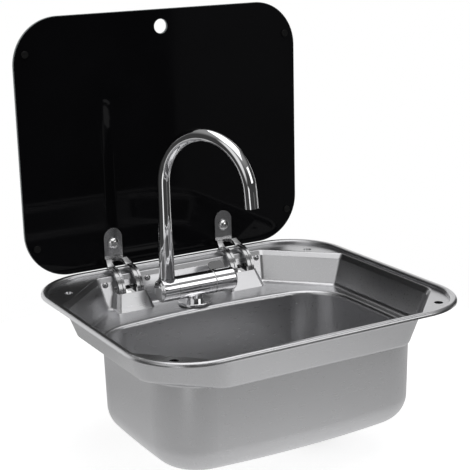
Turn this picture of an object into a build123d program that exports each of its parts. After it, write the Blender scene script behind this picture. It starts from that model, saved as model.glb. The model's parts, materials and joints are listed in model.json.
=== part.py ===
from build123d import *
import os
from math import cos, radians, sin, sqrt

# Drop-in steel sink for a camper, with a hinged glass lid and a fold-down tap.
# Frame: X to the right, Y to the back, Z up. Z = 0 is the worktop's top face and
# the origin is the middle of the rim. The lid stands open at rest.

# ---------------------------------------------------------------- sheet pressing
sheet = 0.8
rim_width = 420
rim_depth = 370
rim_corner = 77
lip_edge = 1.4
lip_height = 5.8
lip_width = 9
lip_round = 3.6

side_land = 2
front_land = 1
back_land = 12
collar_side = rim_width / 2 - lip_width - side_land
collar_front = rim_depth / 2 - lip_width - front_land
collar_back = rim_depth / 2 - lip_width - back_land
front_chamfer = 73
back_chamfer = 79
collar_front_cut = collar_side + collar_front - front_chamfer
collar_back_cut = collar_side + collar_back - back_chamfer
collar_corner = 8
collar_front_corner = 26
step_drop = 6.4
step_inset = 4.5
ledge_level = -39
ledge_inset = 16.6
ledge_bend = 6
land_bend = 1.6
step_bend = 2.4

side_ledge = 13.9
front_ledge = 16.9
back_ledge = 52.9
bowl_side = collar_side - ledge_inset - side_ledge
bowl_front = collar_front - ledge_inset - front_ledge
bowl_back = collar_back - ledge_inset - back_ledge
bowl_side_bow = 3.5
bowl_back_bow = 16
bowl_front_bow = 13
bowl_corner = 58
bowl_floor = -149.7
bowl_draft = 2
bowl_floor_bend = 31
bowl_mouth_bend = 4

land_hole_radius = 2.75
land_dimple_radius = 5.2
land_dimple_floor = 4.3
land_dimple_depth = 2.4
land_hole_side_inset = 38
land_hole_front_inset = 36.5
land_hole_back_inset = 57
land_hole_x = rim_width / 2 - land_hole_side_inset
land_hole_front = rim_depth / 2 - land_hole_front_inset
land_hole_back = rim_depth / 2 - land_hole_back_inset

seal_inset = 3.2
seal_width = 3.4
seal_height = 4.5

# ---------------------------------------------------------------- hinge axis
panel_margin = 39
hinge_x = collar_side - back_chamfer - panel_margin
hinge_inset = 12
hinge_y = rim_depth / 2 - hinge_inset
hinge_z = -20.5

# ---------------------------------------------------------------- glass lid
glass_side_gap = 3
glass_front_gap = 2.85
glass_width = rim_width - 2 * (lip_width + glass_side_gap)
glass_corner = 59
glass_thickness = 4
glass_bottom = 1.9
glass_stand_off = 12
glass_front = rim_depth / 2 + glass_stand_off
closed_front = rim_depth / 2 - lip_width - glass_front_gap
glass_height = hinge_y + hinge_z - glass_bottom + closed_front
finger_hole_radius = 9
finger_hole_drop = 21.6
bumper_radius = 4.5
bumper_side_inset = 15
bumper_x = glass_width / 2 - bumper_side_inset
bumper_gap = 0.3
bumper_front_step = 18.5
bumper_back_step = 17
bumper_front_y = land_hole_front - bumper_front_step
bumper_back_y = land_hole_back - bumper_back_step

# ---------------------------------------------------------------- hinges
pin_radius = 2.5
pin_head_radius = 4
pin_head = 1.6
fit_gap = 0.05

arm_half_width = 17
arm_gap_half = 8
arm_outer_radius = 30
arm_depth = 4.2
arm_start_angle = 187
arm_end_angle = 83
arm_eye_radius = 5
arm_bar = 5
arm_groove_half = 1.3
arm_groove_depth = 1.1
plate_level = 16
plate_overhang = 2
plate_front = rim_depth / 2 + plate_overhang
fold_half_width = 14.3
fold_taper = 10
tongue_half_width = 12.6
tongue_thickness = 2
tongue_height = 38
tongue_top = plate_level + tongue_height
washer_thickness = 1

slot_side_gap = 1.4
slot_half_width = arm_half_width + slot_side_gap
slot_rise = 8.5
slot_top = hinge_z + slot_rise
pocket_gap = 1
pocket_rise = 2.5
pocket_lip_y = hinge_y - arm_outer_radius - pocket_gap - sheet
pocket_lip_z = hinge_z + pocket_rise
pocket_side_gap = 3
pocket_half_width = arm_half_width + pocket_side_gap
pocket_rake = 10.7
pocket_foot_y = pocket_lip_y - pocket_rake
pocket_flare = 6
pocket_foot_half_width = pocket_half_width + pocket_flare
pocket_round = 5

rivet_spacing = 58.8
rivet_rise = 12.5
rivet_z = hinge_z + rivet_rise
rivet_radius = 2
rivet_head_radius = 4
rivet_head = 1.5
rivet_tail_radius = 3.4
rivet_tail = 1.2

bracket_sheet = 1.5
bracket_margin = 7.1
bracket_half_width = rivet_spacing / 2 + bracket_margin
bracket_rise = 14.6
bracket_top = hinge_z + bracket_rise
bracket_drop = 3.5
bracket_foot = hinge_z - bracket_drop
cheek_gap = 1.8
cheek_drop = 7.5
cheek_foot = hinge_z - cheek_drop
cheek_reach = 6
cheek_back = hinge_y + cheek_reach

bolt_drop = 19.7
bolt_z = tongue_top - bolt_drop
bolt_radius = 3
bolt_head_radius = 5.8
bolt_head = 4
bolt_socket_radius = 2.3
bolt_socket_depth = 1.8
bolt_washer_radius = 8
bolt_washer = 1
bolt_cap_radius = 9
bolt_cap = 3.6
pad_radius = 10
glass_hole_gap = 1.5

# ---------------------------------------------------------------- tap
tap_x = -6
tap_setback = 22
tap_y = bowl_back + tap_setback
barrel_height = 24.6
barrel_z = ledge_level + barrel_height
barrel_radius = 15
body_left_reach = 27.5
body_right_reach = 24
body_left = tap_x - body_left_reach
body_right = tap_x + body_right_reach
joint_gap = 0.3
tap_gasket = 1
tap_gasket_radius = 20
flange_radius = 22
flange_thickness = 3.6
flange_round = 1.2
neck_radius = 11.5
shank_radius = 10
shank_bore = 5
shank_length = 28
tail_radius = 6
tail_length = 25
shank_seat = 5
tap_hole_gap = 0.8
back_washer_radius = 17
back_washer = 2
backnut_flats = 30
backnut_height = 8

sleeve_length = 22.5
sleeve_left = body_left - sleeve_length
spigot_radius = 9
spigot_length = 12
sleeve_chamfer = 1.5
end_cap_radius = 12.4
end_cap_depth = 1.5
end_cap_crown = 1.8

tube_inset = 11.4
tube_x = sleeve_left + tube_inset
tube_foot_radius = 9.9
tube_radius = 8.2
tube_bore = 6.2
tube_spigot_radius = 7.8
tube_foot_rise = 5.4
tube_foot_z = barrel_z + tube_foot_rise
tube_taper_rise = 106.4
tube_taper_z = barrel_z + tube_taper_rise
bend_start_rise = 136
bend_start_z = barrel_z + bend_start_rise
bend_radius = 66
bend_sweep = 175
outlet_run = 20
spout_azimuth = -67
boss_radius = 10.5
boss_rise = 15.6
boss_top = barrel_z + boss_rise
ring_groove_depth = 0.9
ring_groove_rise = 5
ring_groove_z = tube_foot_z + ring_groove_rise
aerator_length = 9
aerator_wall = 2
aerator_set = 1

ring_width = 1.4
ring_proud = 0.4
ring_radius = barrel_radius + ring_proud
handle_length = 30.5
handle_round = 4
cartridge_radius = 9.5
cartridge_length = 22
stem_radius = 4
stem_length = 10
lever_inset = 7.3
lever_left = body_right + ring_width + joint_gap + lever_inset
lever_width = 22.5
lever_angle = 26
lever_length = 19.5
lever_reach = barrel_radius + lever_length
lever_thickness = 3.6
lever_round = 9
lever_end_round = 3
lever_sink = 3
lever_root = barrel_radius - lever_sink

# ---------------------------------------------------------------- waste
waste_x = 78
waste_y = -22
waste_hole = 23
waste_flange_radius = 32
waste_flange_sheet = 1.2
waste_dish_depth = 2.6
waste_dish_gap = 2
waste_dish_radius = waste_flange_radius + waste_dish_gap
waste_wall = 4
waste_throat = waste_hole - waste_wall
waste_cup_length = 22
waste_gasket = 2
waste_nut_wall = 8
waste_nut_radius = waste_hole + waste_nut_wall
waste_nut_height = 7
spigot_pipe_radius = 12.5
spigot_pipe_length = 14
spigot_pipe_bore = 10
strainer_sheet = 1
strainer_set = 7
strainer_hole = 2.2
strainer_ring = 11
strainer_count = 8
plug_gap = 0.3
plug_skirt_radius = waste_throat - plug_gap
plug_skirt_depth = 5
plug_lap = 3
plug_top_radius = waste_throat + plug_lap
plug_top = 2.4
plug_knob_radius = 5
plug_knob_neck = 3.2
plug_knob_height = 7

os.makedirs("parts", exist_ok=True)


def finish(piece, name):
    """Label a finished piece and write its STEP file."""
    piece.label = name
    export_step(piece, f"parts/{name}.step")
    print(name, "solids", len(piece.solids()), "volume", round(piece.volume, 1))


# ---------------------------------------------------------------- the sink pressing
def collar_outline(inset, skin):
    """Eight-sided outline of the collar, moved inwards by inset; its front corners are softer."""
    side = collar_side - inset
    front = collar_front - inset
    back = collar_back - inset
    front_cut = collar_front_cut - inset * sqrt(2)
    back_cut = collar_back_cut - inset * sqrt(2)
    with BuildSketch() as outline:
        with BuildLine():
            Polyline(
                (side, side - front_cut),
                (side, back_cut - side),
                (back_cut - back, back),
                (back - back_cut, back),
                (-side, back_cut - side),
                (-side, side - front_cut),
                (front - front_cut, -front),
                (front_cut - front, -front),
                close=True,
            )
        make_face()
        fillet(outline.vertices().filter_by(lambda v: v.Y > 0), collar_corner + skin)
        fillet(outline.vertices().filter_by(lambda v: v.Y < 0), collar_front_corner + skin)
    return outline.sketch


def bowl_outline(inset):
    """Bowed four-sided outline of the bowl, moved inwards by inset."""
    side = bowl_side - inset
    back = bowl_back - inset
    front = bowl_front - inset
    corner_x = side - bowl_side_bow
    corner_back = back - bowl_back_bow
    corner_front = front - bowl_front_bow
    middle = (corner_back - corner_front) / 2
    with BuildSketch() as outline:
        with BuildLine():
            ThreePointArc((-corner_x, corner_back), (0, back), (corner_x, corner_back))
            ThreePointArc((corner_x, corner_back), (side, middle), (corner_x, -corner_front))
            ThreePointArc((corner_x, -corner_front), (0, -front), (-corner_x, -corner_front))
            ThreePointArc((-corner_x, -corner_front), (-side, middle), (-corner_x, corner_back))
        make_face()
        fillet(outline.vertices(), bowl_corner - inset)
    return outline.sketch


def basin_form(skin):
    """Solid of the collar and bowl; skin 0 is the inside, skin sheet is the outside."""
    ledge = ledge_level - skin
    floor = bowl_floor - skin
    with BuildPart() as collar:
        with BuildSketch(Plane.XY.offset(sheet)):
            add(collar_outline(-skin, skin))
        with BuildSketch(Plane.XY.offset(sheet - step_drop)):
            add(collar_outline(step_inset - skin, skin))
        with BuildSketch(Plane.XY.offset(ledge)):
            add(collar_outline(ledge_inset - skin, skin))
        loft(ruled=True)
        fillet(collar.faces().sort_by(Axis.Z)[0].edges(), ledge_bend + skin)
        step_edges = collar.edges().filter_by(lambda e: on_level(e, sheet - step_drop))
        fillet(step_edges, step_bend + sheet - skin)
    with BuildPart() as bowl:
        with BuildSketch(Plane.XY.offset(ledge)):
            add(bowl_outline(-skin))
        with BuildSketch(Plane.XY.offset(floor)):
            add(bowl_outline(bowl_draft - skin))
        loft(ruled=True)
        fillet(bowl.faces().sort_by(Axis.Z)[0].edges(), bowl_floor_bend + skin)
    with BuildPart() as form:
        add(collar.part)
        add(bowl.part)
        mouth = form.edges().filter_by(lambda e: on_level(e, ledge) and inside_ledge(e))
        fillet(mouth, bowl_mouth_bend + sheet - skin)
    return form.part


def on_level(edge, level):
    """True for a level edge at that height."""
    return edge.bounding_box().size.Z < sheet / 8 and abs(edge.center().Z - level) < sheet / 8


def inside_ledge(edge):
    """True for an edge of the bowl's mouth, which lies inside the collar's foot."""
    spot = edge.center()
    return abs(spot.X) < bowl_side + sheet * 2 and -bowl_front - sheet * 2 < spot.Y < bowl_back + sheet * 2


def round_collar_mouth(sink, level, radius):
    """Round the bend where the flat land turns down into the collar."""
    reach = sheet + fit_gap
    bend = []
    for edge in sink.edges().filter_by(lambda e: on_level(e, level)):
        spot = edge.center()
        cut = collar_back_cut if spot.Y > 0 else collar_front_cut
        inside_cut = abs(spot.X) + abs(spot.Y) < cut + 2 * sheet
        inside_sides = abs(spot.X) < collar_side + reach
        inside_ends = -collar_front - reach < spot.Y < collar_back + reach
        if inside_cut and inside_sides and inside_ends:
            bend.append(edge)
    fillet(bend, radius)


def pocket_form(skin, top, back):
    """Bulge that houses one hinge; skin 0 is the visible face, skin sheet its inner face."""
    steep = (pocket_lip_y - pocket_foot_y) / (pocket_lip_z - ledge_level)
    flare = (pocket_foot_half_width - pocket_half_width) / (pocket_lip_z - ledge_level)
    with BuildPart() as form:
        for level in (ledge_level - 2 * skin, pocket_lip_z):
            front = pocket_lip_y + skin - steep * (pocket_lip_z - level)
            half = pocket_half_width - skin + flare * (pocket_lip_z - level)
            with BuildSketch(Plane.XY.offset(level)) as outline:
                with BuildLine():
                    Polyline((-half, back), (-half, front), (half, front), (half, back), close=True)
                make_face()
                fillet(outline.vertices().group_by(Axis.Y)[0], pocket_round - skin)
        loft(ruled=True)
        if top > pocket_lip_z:
            with BuildSketch(Plane.XY.offset(pocket_lip_z)):
                with Locations((0, (pocket_lip_y + skin + back) / 2)):
                    Rectangle(2 * slot_half_width, back - pocket_lip_y - skin)
            extrude(amount=top - pocket_lip_z)
    return form.part


def lip_hollow_form():
    """The hollow under the rolled lip."""
    inner = lip_width - sheet
    with BuildPart() as hollow:
        with BuildSketch():
            RectangleRounded(rim_width - 2 * sheet, rim_depth - 2 * sheet, rim_corner - sheet)
            RectangleRounded(
                rim_width - 2 * inner, rim_depth - 2 * inner, rim_corner - inner, mode=Mode.SUBTRACT
            )
        extrude(amount=lip_height - sheet)
        fillet(hollow.faces().sort_by(Axis.Z)[-1].edges(), lip_round - sheet)
    return hollow.part


def rim_form():
    """The flat land with its rolled lip, before the collar is drawn through it."""
    with BuildPart() as rim:
        with BuildSketch(Plane.XY.offset(lip_edge)):
            RectangleRounded(rim_width, rim_depth, rim_corner)
        extrude(amount=lip_height - lip_edge)
        with BuildSketch():
            RectangleRounded(rim_width - lip_width, rim_depth - lip_width, rim_corner - lip_width / 2)
        extrude(amount=lip_edge)
        with BuildSketch(Plane.XY.offset(sheet)):
            RectangleRounded(
                rim_width - 2 * lip_width, rim_depth - 2 * lip_width, rim_corner - lip_width
            )
        extrude(amount=lip_height, mode=Mode.SUBTRACT)
        fillet(rim.faces().sort_by(Axis.Z)[-1].edges(), lip_round)
        add(lip_hollow_form(), mode=Mode.SUBTRACT)
    return rim.part


def press_land_holes():
    """Press four dimples into the land's corners and pierce each for a screw."""
    for side in (-1, 1):
        for hole_y in (-land_hole_front, land_hole_back):
            with Locations((side * land_hole_x, hole_y, 0)):
                Cone(
                    land_dimple_floor + sheet,
                    land_dimple_radius + sheet,
                    land_dimple_depth,
                    align=(Align.CENTER, Align.CENTER, Align.MAX),
                )
            with Locations((side * land_hole_x, hole_y, sheet)):
                Cone(
                    land_dimple_floor,
                    land_dimple_radius,
                    land_dimple_depth,
                    align=(Align.CENTER, Align.CENTER, Align.MAX),
                    mode=Mode.SUBTRACT,
                )
                Hole(land_hole_radius, depth=land_dimple_depth + 2 * sheet)


def rivet_holes_form(centre):
    """Two plugs through the back panel, where a hinge's rivets go."""
    with BuildPart() as holes:
        for rivet_side in (-1, 1):
            with BuildSketch(panel_plane(centre + rivet_side * rivet_spacing / 2, rivet_z)):
                Circle(rivet_radius)
            extrude(amount=2 * sheet, both=True)
    return holes.part


def press_hinge_pocket(centre, outside):
    """Push one hinge's pocket into the basin, then cut its slot and rivet holes."""
    place = Location((centre, 0, 0))
    add(pocket_form(0, pocket_lip_z, hinge_y).moved(place) & outside)
    add(pocket_form(sheet, slot_top, hinge_y).moved(place), mode=Mode.SUBTRACT)
    add(rivet_holes_form(centre), mode=Mode.SUBTRACT)


def press_waste_dish():
    """Press a shallow dish into the bowl's floor and pierce it for the waste."""
    with Locations((waste_x, waste_y, bowl_floor)):
        Cylinder(
            waste_dish_radius + sheet,
            waste_dish_depth + sheet,
            align=(Align.CENTER, Align.CENTER, Align.MAX),
        )
        Cylinder(
            waste_dish_radius,
            waste_dish_depth,
            align=(Align.CENTER, Align.CENTER, Align.MAX),
            mode=Mode.SUBTRACT,
        )
        Hole(waste_hole, depth=3 * waste_dish_depth)


def make_sink():
    outside = basin_form(sheet)
    with BuildPart() as sink:
        add(rim_form())
        add(outside)
        add(basin_form(0), mode=Mode.SUBTRACT)
        round_collar_mouth(sink, sheet, land_bend + sheet)
        round_collar_mouth(sink, 0, land_bend)
        press_land_holes()
        press_hinge_pocket(-hinge_x, outside)
        press_hinge_pocket(hinge_x, outside)
        with Locations((tap_x, tap_y, ledge_level)):
            Hole(shank_radius + tap_hole_gap, depth=2 * sheet)
        press_waste_dish()
    finish(sink.part, "sink_pressing")


def make_rim_seal():
    inner = seal_inset + seal_width
    with BuildPart() as seal:
        with BuildSketch():
            RectangleRounded(
                rim_width - 2 * seal_inset, rim_depth - 2 * seal_inset, rim_corner - seal_inset
            )
            RectangleRounded(
                rim_width - 2 * inner, rim_depth - 2 * inner, rim_corner - inner, mode=Mode.SUBTRACT
            )
        extrude(amount=seal_height)
    finish(seal.part, "rim_seal")


panel_slope = (ledge_inset - step_inset) / (sheet - step_drop - ledge_level)


def panel_y(level, skin=0):
    """Y of the back panel at a height; skin 0 is its visible face, skin sheet its hidden face."""
    lean = (ledge_inset - step_inset) / (sheet - step_drop - ledge_level + skin)
    return collar_back - step_inset + skin - lean * (sheet - step_drop - level)


def panel_plane(x, level):
    """Plane on the back panel's visible face, its normal pointing out to the front."""
    lean = sqrt(1 + panel_slope**2)
    return Plane(
        origin=(x, panel_y(level), level),
        x_dir=(1, 0, 0),
        z_dir=(0, -1 / lean, panel_slope / lean),
    )


# ---------------------------------------------------------------- the glass lid
def closed_to_open(y, z):
    """Where a point of the closed lid stands when the lid is open."""
    return hinge_y + z - hinge_z, hinge_z - y + hinge_y


def make_lid():
    hole_z = glass_bottom + glass_height - finger_hole_drop
    closed_underside = hinge_z + glass_front - hinge_y
    bumper_height = closed_underside - sheet - bumper_gap
    with BuildPart() as glass:
        with BuildSketch(Plane.XZ.offset(-glass_front)):
            with Locations((0, glass_bottom + glass_height / 2)):
                RectangleRounded(glass_width, glass_height, glass_corner)
            with Locations((0, hole_z)):
                Circle(finger_hole_radius, mode=Mode.SUBTRACT)
            with Locations((-hinge_x, bolt_z), (hinge_x, bolt_z)):
                Circle(bolt_radius + glass_hole_gap, mode=Mode.SUBTRACT)
        extrude(amount=-glass_thickness)
        chamfer(glass.faces().filter_by(Axis.Y)[0].outer_wire().edges(), glass_thickness / 8)
        chamfer(glass.faces().filter_by(Axis.Y)[-1].outer_wire().edges(), glass_thickness / 8)
    finish(glass.part, "glass_lid")
    with BuildPart() as bumpers:
        spots = []
        for closed_y in (-bumper_front_y, bumper_back_y):
            spots.append(closed_to_open(closed_y, 0)[1])
        with BuildSketch(Plane.XZ.offset(-glass_front)):
            for spot in spots:
                with Locations((-bumper_x, spot), (bumper_x, spot)):
                    Circle(bumper_radius)
        extrude(amount=bumper_height)
        chamfer(bumpers.faces().group_by(Axis.Y)[0].edges(), bumper_height / 4)
    finish(bumpers.part, "lid_bumpers")


# ---------------------------------------------------------------- hinges
def polar(radius, angle):
    """Point in the hinge's side view, at an angle about the pin."""
    return hinge_y + radius * cos(radians(angle)), hinge_z + radius * sin(radians(angle))


def arm_side_profile():
    """Side view of an arm: its eye, its bar, the curved neck and the plate."""
    middle = arm_outer_radius - arm_depth / 2
    arc_start = polar(middle, arm_start_angle)
    arc_end = polar(middle, arm_end_angle)
    plate_middle = plate_level - arm_depth / 2
    plate_back = glass_front - washer_thickness
    with BuildSketch() as profile:
        with BuildLine() as neck:
            ThreePointArc(arc_start, polar(middle, (arm_start_angle + arm_end_angle) / 2), arc_end)
        trace(neck.line, line_width=arm_depth)
        with BuildLine() as rise:
            Line(arc_end, (plate_front, plate_middle))
        trace(rise.line, line_width=arm_depth)
        with Locations(arc_end, (plate_front, plate_middle)):
            Circle(arm_depth / 2)
        with Locations(((plate_front + plate_back) / 2, plate_middle)):
            Rectangle(plate_back - plate_front, arm_depth)
        with BuildLine() as bar:
            Line((hinge_y, hinge_z), arc_start)
        trace(bar.line, line_width=arm_bar)
        with Locations(arc_start):
            Circle(arm_depth / 2)
        with Locations((hinge_y, hinge_z)):
            Circle(arm_eye_radius)
    return profile.sketch


def arm_window(centre):
    """Top view of the gap between an arm's two legs."""
    back = plate_front + arm_depth / 2 - arm_gap_half
    front = hinge_y - 2 * arm_outer_radius
    with BuildSketch() as window:
        with Locations((centre, (front + back) / 2)):
            Rectangle(2 * arm_gap_half, back - front)
        with Locations((centre, back)):
            Circle(arm_gap_half)
    return window.sketch


def arm_crease():
    """Side view of the groove pressed along a leg's outer face."""
    with BuildSketch() as crease:
        with BuildLine() as path:
            ThreePointArc(
                polar(arm_outer_radius, arm_start_angle),
                polar(arm_outer_radius, (arm_start_angle + arm_end_angle) / 2),
                polar(arm_outer_radius, arm_end_angle + arm_depth),
            )
        trace(path.line, line_width=2 * arm_groove_depth)
    return crease.sketch


def plate_corners(centre):
    """Top view of what is trimmed off the plate to narrow it towards the fold."""
    with BuildSketch() as corners:
        for edge in (-1, 1):
            with BuildLine():
                Polyline(
                    (centre + edge * fold_half_width, glass_front),
                    (centre + edge * fold_half_width, plate_front),
                    (centre + edge * arm_half_width, plate_front - fold_taper),
                    (centre + edge * 2 * arm_half_width, plate_front - fold_taper),
                    (centre + edge * 2 * arm_half_width, glass_front),
                    close=True,
                )
            make_face()
    return corners.sketch


def tongue_outline(centre):
    """Front view of the upright tongue, with a round top and the bolt's hole."""
    top_centre = tongue_top - tongue_half_width
    foot = plate_level - arm_depth
    with BuildSketch() as tongue:
        with Locations((centre, (foot + top_centre) / 2)):
            Rectangle(2 * tongue_half_width, top_centre - foot)
        with Locations((centre, top_centre)):
            Circle(tongue_half_width)
        with Locations((centre, bolt_z)):
            Circle(bolt_radius + fit_gap, mode=Mode.SUBTRACT)
    return tongue.sketch


def make_arm(side, name):
    centre = side * hinge_x
    with BuildPart() as arm:
        with BuildSketch(Plane.YZ.offset(centre)):
            add(arm_side_profile())
        extrude(amount=arm_half_width, both=True)
        with BuildSketch(Plane.YZ.offset(centre)):
            with Locations((hinge_y, hinge_z)):
                Circle(pin_radius + fit_gap)
        extrude(amount=arm_half_width, both=True, mode=Mode.SUBTRACT)
        with BuildSketch(Plane.XY.offset(hinge_z - 2 * arm_outer_radius)):
            add(arm_window(centre))
        extrude(amount=4 * arm_outer_radius, mode=Mode.SUBTRACT)
        for leg in (-1, 1):
            leg_middle = centre + leg * (arm_half_width + arm_gap_half) / 2
            with BuildSketch(Plane.YZ.offset(leg_middle)):
                add(arm_crease())
            extrude(amount=arm_groove_half, both=True, mode=Mode.SUBTRACT)
        with BuildSketch(Plane.XY.offset(plate_level - 2 * arm_depth)):
            add(plate_corners(centre))
        extrude(amount=3 * arm_depth, mode=Mode.SUBTRACT)
        with BuildSketch(Plane.XZ.offset(washer_thickness - glass_front)):
            add(tongue_outline(centre))
        extrude(amount=tongue_thickness)
    finish(arm.part, name)


def make_bracket(side, name):
    centre = side * hinge_x
    cheek_inner = arm_half_width + cheek_gap
    flange = bracket_sheet * sqrt(1 + panel_slope**2)
    with BuildPart() as bracket:
        with BuildSketch(Plane.YZ.offset(centre)):
            with BuildLine():
                Polyline(
                    (panel_y(bracket_top, sheet), bracket_top),
                    (panel_y(bracket_top, sheet) + flange, bracket_top),
                    (panel_y(bracket_foot, sheet) + flange, bracket_foot),
                    (panel_y(bracket_foot, sheet), bracket_foot),
                    close=True,
                )
            make_face()
        extrude(amount=bracket_half_width, both=True)
        with BuildSketch(Plane.YZ.offset(centre)):
            with Locations((hinge_y, slot_top)):
                Rectangle(
                    4 * arm_outer_radius, 2 * arm_outer_radius, align=(Align.CENTER, Align.MAX)
                )
        extrude(amount=cheek_inner, both=True, mode=Mode.SUBTRACT)
        for cheek in (-1, 1):
            start = centre + cheek * cheek_inner
            with BuildSketch(Plane.YZ.offset(start)):
                with BuildLine():
                    Polyline(
                        (panel_y(bracket_top, sheet), bracket_top),
                        (cheek_back, bracket_top),
                        (cheek_back, cheek_foot),
                        (hinge_y - arm_eye_radius, cheek_foot),
                        (panel_y(bracket_foot, sheet), bracket_foot),
                        close=True,
                    )
                make_face()
                with Locations((hinge_y, hinge_z)):
                    Circle(pin_radius, mode=Mode.SUBTRACT)
            extrude(amount=cheek * bracket_sheet)
            for rivet_side in (-1, 1):
                with BuildSketch(panel_plane(centre + rivet_side * rivet_spacing / 2, rivet_z)):
                    Circle(rivet_radius)
                extrude(amount=-sheet - 2 * bracket_sheet, mode=Mode.SUBTRACT)
    finish(bracket.part, name)


def make_pin(side, name):
    centre = side * hinge_x
    half = arm_half_width + cheek_gap + bracket_sheet
    with BuildPart() as pin:
        with BuildSketch(Plane.YZ.offset(centre)):
            with Locations((hinge_y, hinge_z)):
                Circle(pin_radius)
        extrude(amount=half + pin_head / 2, both=True)
        for end in (-1, 1):
            with BuildSketch(Plane.YZ.offset(centre + end * half)):
                with Locations((hinge_y, hinge_z)):
                    Circle(pin_head_radius)
            extrude(amount=end * pin_head)
    finish(pin.part, name)


def make_spacers():
    """Plastic washers that centre each arm between the bracket's cheeks."""
    with BuildPart() as spacers:
        for side in (-1, 1):
            for end in (-1, 1):
                start = side * hinge_x + end * (arm_half_width + joint_gap)
                with BuildSketch(Plane.YZ.offset(start)):
                    with Locations((hinge_y, hinge_z)):
                        Circle(arm_eye_radius)
                        Circle(pin_radius + fit_gap, mode=Mode.SUBTRACT)
                extrude(amount=end * (cheek_gap - joint_gap))
    finish(spacers.part, "hinge_spacers")


def make_rivets():
    with BuildPart() as rivets:
        for side in (-1, 1):
            for rivet_side in (-1, 1):
                seat = panel_plane(side * hinge_x + rivet_side * rivet_spacing / 2, rivet_z)
                with BuildSketch(seat):
                    Circle(rivet_radius)
                extrude(amount=-sheet - bracket_sheet - rivet_tail / 2)
                with BuildSketch(seat):
                    Circle(rivet_head_radius)
                extrude(amount=rivet_head)
                with BuildSketch(seat.offset(-sheet - bracket_sheet)):
                    Circle(rivet_tail_radius)
                extrude(amount=-rivet_tail)
        heads = rivets.faces().group_by(Axis.Y)[0]
        fillet(heads.edges(), rivet_head * 0.8)
    finish(rivets.part, "hinge_rivets")


def make_lid_fixings():
    tongue_front = glass_front - washer_thickness - tongue_thickness
    head_seat = tongue_front - bolt_washer
    shank_length = glass_front + glass_thickness - head_seat
    spots = [(-hinge_x, bolt_z), (hinge_x, bolt_z)]
    with BuildPart() as bolts:
        with BuildSketch(Plane.XZ.offset(-head_seat)):
            with Locations(*spots):
                Circle(bolt_radius)
        extrude(amount=-shank_length - bolt_cap / 2)
        with BuildSketch(Plane.XZ.offset(-head_seat)):
            with Locations(*spots):
                Circle(bolt_head_radius)
        extrude(amount=bolt_head)
        fillet(bolts.faces().group_by(Axis.Y)[0].edges(), bolt_head * 0.6)
        with BuildSketch(Plane.XZ.offset(bolt_head - head_seat)):
            with Locations(*spots):
                RegularPolygon(bolt_socket_radius, 6)
        extrude(amount=-bolt_socket_depth, mode=Mode.SUBTRACT)
    finish(bolts.part, "lid_bolts")
    with BuildPart() as washers:
        with BuildSketch(Plane.XZ.offset(-head_seat)):
            with Locations(*spots):
                Circle(bolt_washer_radius)
                Circle(bolt_radius, mode=Mode.SUBTRACT)
        extrude(amount=-bolt_washer)
    finish(washers.part, "lid_washers")
    with BuildPart() as pads:
        with BuildSketch(Plane.XZ.offset(-glass_front)):
            with Locations(*spots):
                Circle(pad_radius)
                Circle(bolt_radius, mode=Mode.SUBTRACT)
        extrude(amount=washer_thickness)
    finish(pads.part, "lid_pads")
    with BuildPart() as sleeves:
        with BuildSketch(Plane.XZ.offset(-glass_front)):
            with Locations(*spots):
                Circle(bolt_radius + glass_hole_gap)
                Circle(bolt_radius, mode=Mode.SUBTRACT)
        extrude(amount=-glass_thickness)
    finish(sleeves.part, "glass_hole_sleeves")
    with BuildPart() as caps:
        with BuildSketch(Plane.XZ.offset(-glass_front - glass_thickness)):
            with Locations(*spots):
                Circle(bolt_cap_radius)
        extrude(amount=-bolt_cap)
        fillet(caps.faces().group_by(Axis.Y)[-1].edges(), bolt_cap / 3)
        with BuildSketch(Plane.XZ.offset(-glass_front - glass_thickness)):
            with Locations(*spots):
                Circle(bolt_radius)
        extrude(amount=-bolt_cap / 2, mode=Mode.SUBTRACT)
    finish(caps.part, "lid_cap_nuts")


# ---------------------------------------------------------------- the tap
def barrel_plane(x):
    """Plane across the barrel at x, centred on its axis."""
    return Plane(origin=(x, tap_y, barrel_z), x_dir=(0, 1, 0), z_dir=(1, 0, 0))


def ledge_plane(height):
    """Level plane at a height above the ledge, centred on the tap's hole."""
    return Plane(origin=(tap_x, tap_y, ledge_level + height))


def make_tap_base():
    with BuildPart() as gasket:
        with BuildSketch(ledge_plane(0)):
            Circle(tap_gasket_radius)
            Circle(shank_radius + fit_gap, mode=Mode.SUBTRACT)
        extrude(amount=tap_gasket)
    finish(gasket.part, "tap_gasket")
    with BuildPart() as flange:
        with BuildSketch(ledge_plane(tap_gasket)):
            Circle(flange_radius)
        extrude(amount=flange_thickness)
        fillet(flange.faces().sort_by(Axis.Z)[-1].edges(), flange_round)
        with BuildSketch(ledge_plane(tap_gasket)):
            Circle(neck_radius)
        extrude(amount=flange_thickness, mode=Mode.SUBTRACT)
    finish(flange.part, "tap_flange")
    with BuildPart() as shank:
        with BuildSketch(ledge_plane(tap_gasket + shank_seat)):
            Circle(shank_radius)
            Circle(shank_bore, mode=Mode.SUBTRACT)
        extrude(amount=-shank_length)
        with BuildSketch(ledge_plane(tap_gasket + shank_seat - shank_length)):
            Circle(tail_radius)
            Circle(shank_bore, mode=Mode.SUBTRACT)
        extrude(amount=-tail_length)
    finish(shank.part, "tap_shank")
    with BuildPart() as washer:
        with BuildSketch(ledge_plane(-sheet)):
            Circle(back_washer_radius)
            Circle(shank_radius, mode=Mode.SUBTRACT)
        extrude(amount=-back_washer)
    finish(washer.part, "tap_back_washer")
    with BuildPart() as nut:
        with BuildSketch(ledge_plane(-sheet - back_washer)):
            RegularPolygon(backnut_flats / 2, 6, major_radius=False)
            Circle(shank_radius, mode=Mode.SUBTRACT)
        extrude(amount=-backnut_height)
    finish(nut.part, "tap_backnut")


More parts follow.
